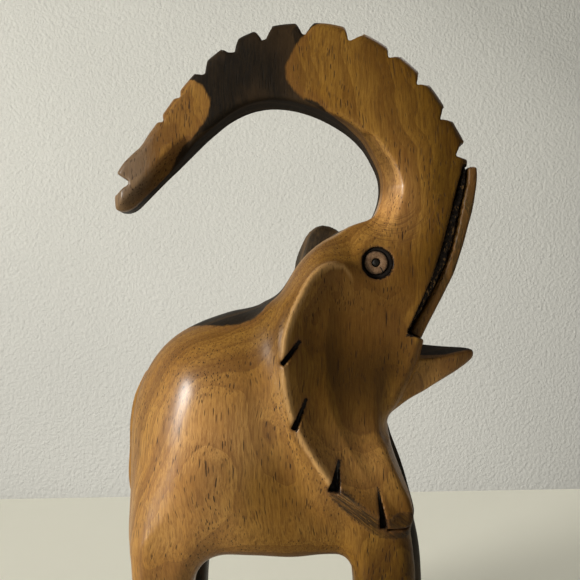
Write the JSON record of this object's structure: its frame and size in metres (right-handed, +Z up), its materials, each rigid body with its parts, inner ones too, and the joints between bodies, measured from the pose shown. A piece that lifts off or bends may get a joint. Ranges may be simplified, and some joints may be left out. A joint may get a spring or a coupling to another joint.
{
  "type": "carved wooden elephant figurine",
  "caption": "Carved two-tone wooden elephant standing on its feet, trunk raised and curled back over its head, with tusk strips, flared ears and inlaid eyes.",
  "frame": {"origin": "middle of the footprint, on the surface that the feet stand on", "axes": "+Z up; +X the way the elephant looks; -Y the elephant's right side"},
  "size_m": [0.1284, 0.0616, 0.2377],
  "materials": {
    "carved_wood": "satin clear varnish over two-tone hardwood, golden on the right side and dark brown on the left",
    "tusk_wood": "satin clear varnish over pale golden wood",
    "dark_filler": "rough black filler and scorched wood",
    "eye_wood": "satin turned disc"
  },
  "bodies": {
    "root": {"carved_body": "carved_wood", "tusk_right": "tusk_wood", "tusk_left": "tusk_wood", "tusk_seam_filler_right": "dark_filler", "tusk_seam_filler_left": "dark_filler", "eye_ring_right": "dark_filler", "eye_ring_left": "dark_filler", "eye_disc_right": "eye_wood", "eye_disc_left": "eye_wood", "eye_pupil_right": "dark_filler", "eye_pupil_left": "dark_filler"}
  },
  "joints": []
}
